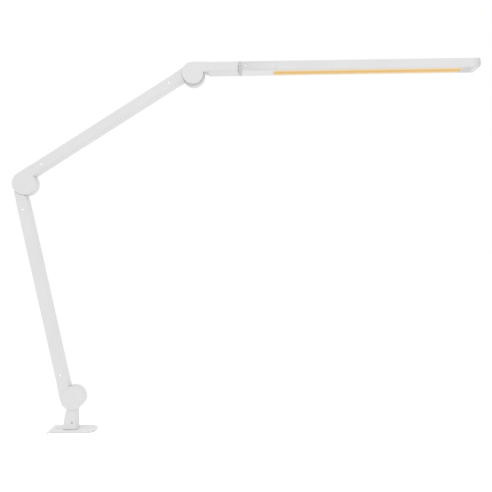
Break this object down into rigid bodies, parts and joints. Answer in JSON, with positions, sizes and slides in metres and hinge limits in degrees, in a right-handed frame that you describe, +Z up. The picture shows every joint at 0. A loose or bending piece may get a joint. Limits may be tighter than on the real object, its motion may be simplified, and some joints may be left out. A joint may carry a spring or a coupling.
{
  "type": "swing arm desk lamp",
  "caption": "White swing arm desk lamp: a slim LED bar head on two box-section arms with round lap joints, over a swivelling post on a thin fixing plate.",
  "frame": {"origin": "on the post's swivel axis, in the plane of the fixing plate's underside, which is the desk's surface", "axes": "+Z up along the swivel axis; +X along the LED bar, away from the wrist; the arms lie in the XZ plane and their hinge axes along Y, with the joints' plain faces towards -Y"},
  "size_m": [0.8024, 0.044, 0.6407],
  "materials": {
    "white_powder_coat": "satin",
    "white_cast": "satin",
    "white_steel_plate": "satin",
    "white_plastic": "matte",
    "touch_grey": "satin",
    "button_white": "gloss",
    "plated_steel": "polished",
    "nylon": "matte",
    "pad_foam": "matte",
    "inlet_black": "matte",
    "lead_jacket": "matte",
    "circuit_board": "satin",
    "led_board_white": "satin",
    "led_phosphor": "satin",
    "warm_diffuser": "matte"
  },
  "bodies": {
    "base": {"base_plate": "white_steel_plate", "base_pad": "pad_foam", "swivel_stud": "plated_steel", "swivel_washer": "nylon"},
    "post": {"post": "white_powder_coat", "post_set_screw": "plated_steel", "power_inlet": "inlet_black", "base_joint_cover": "white_plastic", "base_friction_washer": "nylon"},
    "lower_arm": {"lower_arm_tube": "white_powder_coat", "lower_arm_foot": "white_cast", "lower_arm_head": "white_cast", "lower_arm_rivets": "plated_steel", "lower_arm_lead": "lead_jacket", "base_hinge_pin": "plated_steel", "base_disc_spring": "plated_steel", "base_hinge_nut": "plated_steel", "elbow_joint_cover": "white_plastic", "elbow_friction_washer": "nylon"},
    "upper_arm": {"upper_arm_tube": "white_powder_coat", "upper_arm_foot": "white_cast", "upper_arm_head": "white_cast", "upper_arm_rivets": "plated_steel", "upper_arm_lead": "lead_jacket", "elbow_hinge_pin": "plated_steel", "elbow_disc_spring": "plated_steel", "elbow_hinge_nut": "plated_steel", "wrist_joint_cover": "white_plastic", "wrist_friction_washer": "nylon"},
    "neck": {"wrist_knuckle": "white_cast", "neck_tube": "white_powder_coat", "neck_rivet": "plated_steel", "neck_end_plug": "white_plastic", "neck_lead": "lead_jacket", "wrist_hinge_pin": "plated_steel", "wrist_disc_spring": "plated_steel", "wrist_hinge_nut": "plated_steel", "roll_spindle": "plated_steel", "roll_washer": "nylon", "roll_disc_spring": "plated_steel", "roll_nut": "plated_steel"},
    "bar": {"roll_collar": "white_plastic", "bar_housing": "white_powder_coat", "touch_panel": "touch_grey", "touch_button": "button_white", "control_board": "circuit_board", "control_cover": "white_plastic", "led_board": "led_board_white", "leds": "led_phosphor", "diffuser": "warm_diffuser", "tip_cover": "white_plastic", "end_cap": "white_plastic"}
  },
  "joints": [
    {"name": "post_swivel", "type": "hinge", "parent": "base", "child": "post", "pos_m": [0, 0, 0], "axis": [0, 0, 1], "range_deg": [-170, 170]},
    {"name": "base_hinge", "type": "hinge", "parent": "post", "child": "lower_arm", "pos_m": [0, 0, 0.0568], "axis": [0, -1, 0], "range_deg": [-60, 50]},
    {"name": "elbow_hinge", "type": "hinge", "parent": "lower_arm", "child": "upper_arm", "pos_m": [-0.08401, 0, 0.42658], "axis": [0, -1, 0], "range_deg": [-60, 70]},
    {"name": "wrist_hinge", "type": "hinge", "parent": "upper_arm", "child": "neck", "pos_m": [0.2075, 0, 0.6148], "axis": [0, -1, 0], "range_deg": [-60, 75]},
    {"name": "bar_roll", "type": "hinge", "parent": "neck", "child": "bar", "pos_m": [0.20738, 0, 0.6248], "axis": [0.9999, 0, 0.0122], "range_deg": [-60, 60]}
  ]
}
